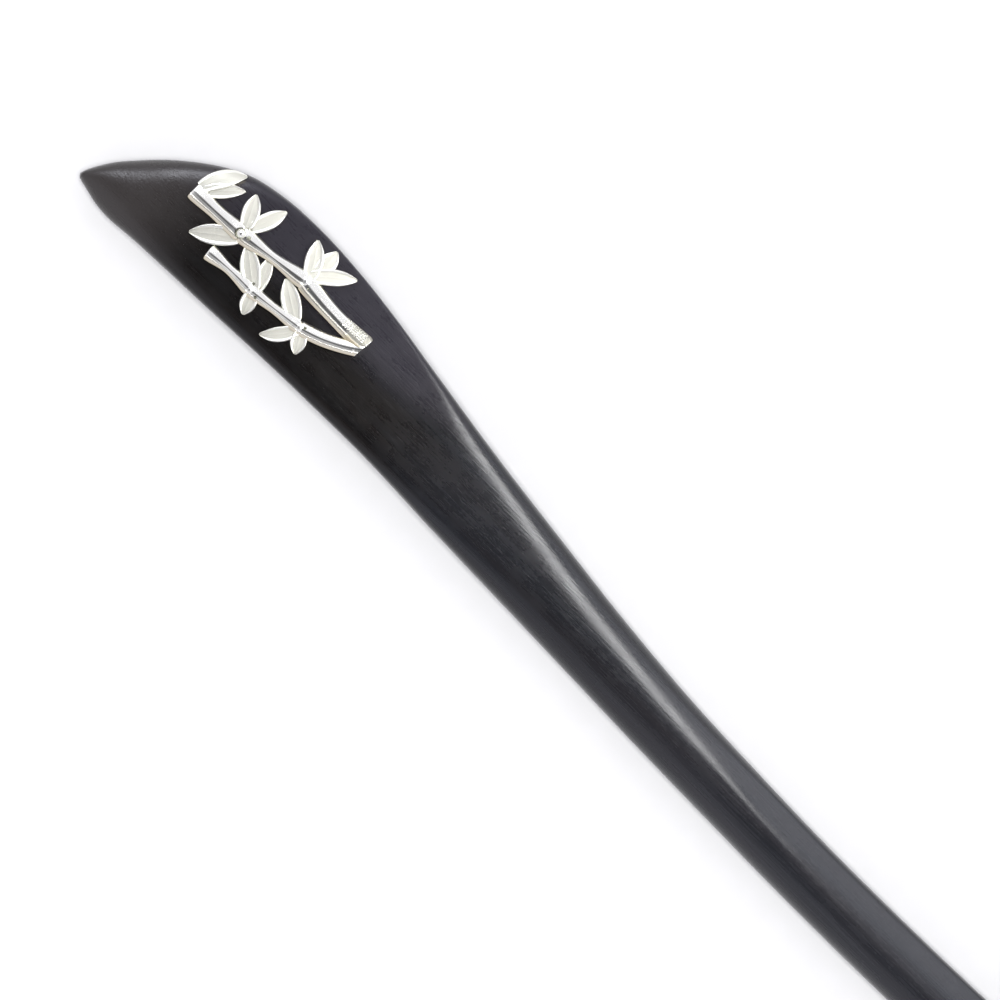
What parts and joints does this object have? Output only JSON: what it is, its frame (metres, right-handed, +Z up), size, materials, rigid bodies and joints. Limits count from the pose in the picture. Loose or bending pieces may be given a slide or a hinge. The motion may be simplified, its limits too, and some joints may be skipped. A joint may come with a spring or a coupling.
{
  "type": "hair stick",
  "caption": "Dark wooden hair stick with a broad beaked head, a gently bowed shaft and a cast silver bamboo spray on the head.",
  "frame": {"origin": "on the surface that the stick lies on, below the middle of its box", "axes": "+X along the stick from the beaked head to the point, +Y to the side that the head stands out to, +Z up through the face that carries the spray"},
  "size_m": [0.178, 0.0146, 0.0073],
  "materials": {
    "ebony": "oiled and hand polished to a satin sheen",
    "silver": "cast, stems polished, leaves frosted"
  },
  "bodies": {
    "root": {"stick": "ebony", "bamboo_spray": "silver"}
  },
  "joints": []
}
